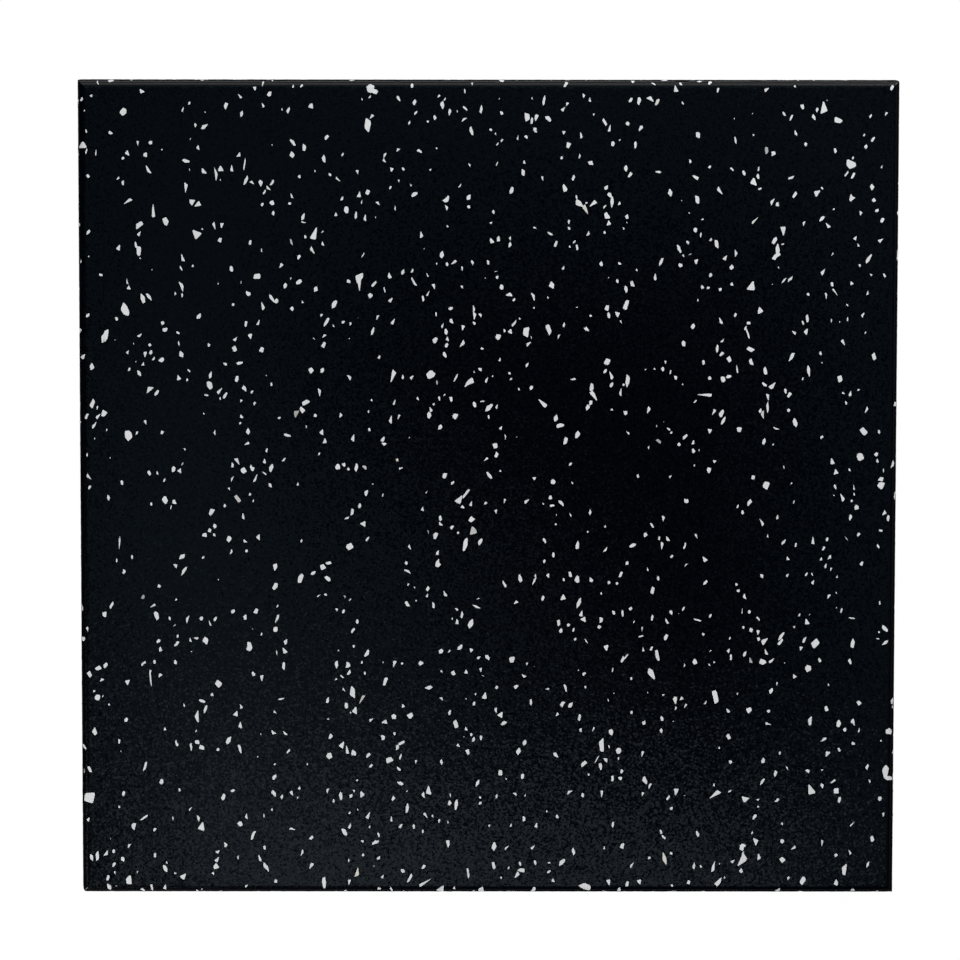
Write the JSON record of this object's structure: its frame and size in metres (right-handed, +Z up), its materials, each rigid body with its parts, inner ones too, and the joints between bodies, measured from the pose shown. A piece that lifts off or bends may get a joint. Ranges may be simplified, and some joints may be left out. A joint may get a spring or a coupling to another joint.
{
  "type": "rubber gym floor tile",
  "caption": "Square black rubber crumb floor tile with pale flecks, rounded upper edges and square side walls that butt against the next tile.",
  "frame": {"origin": "middle of the flat underside, where the tile lies on the floor", "axes": "+Z up, square to the walking face; +X to the right and +Y to the back of the tile as it lies in the picture, each square to a side wall"},
  "size_m": [0.5, 0.5, 0.02],
  "materials": {
    "black_rubber": "matte moulded rubber crumb with a fine grain and pale grey granules on the surface",
    "grey_granules": "matte pale grey rubber granules, angular chips of 1 to 6 mm, level with the surface"
  },
  "bodies": {
    "root": {"rubber_tile": "black_rubber"}
  },
  "joints": []
}
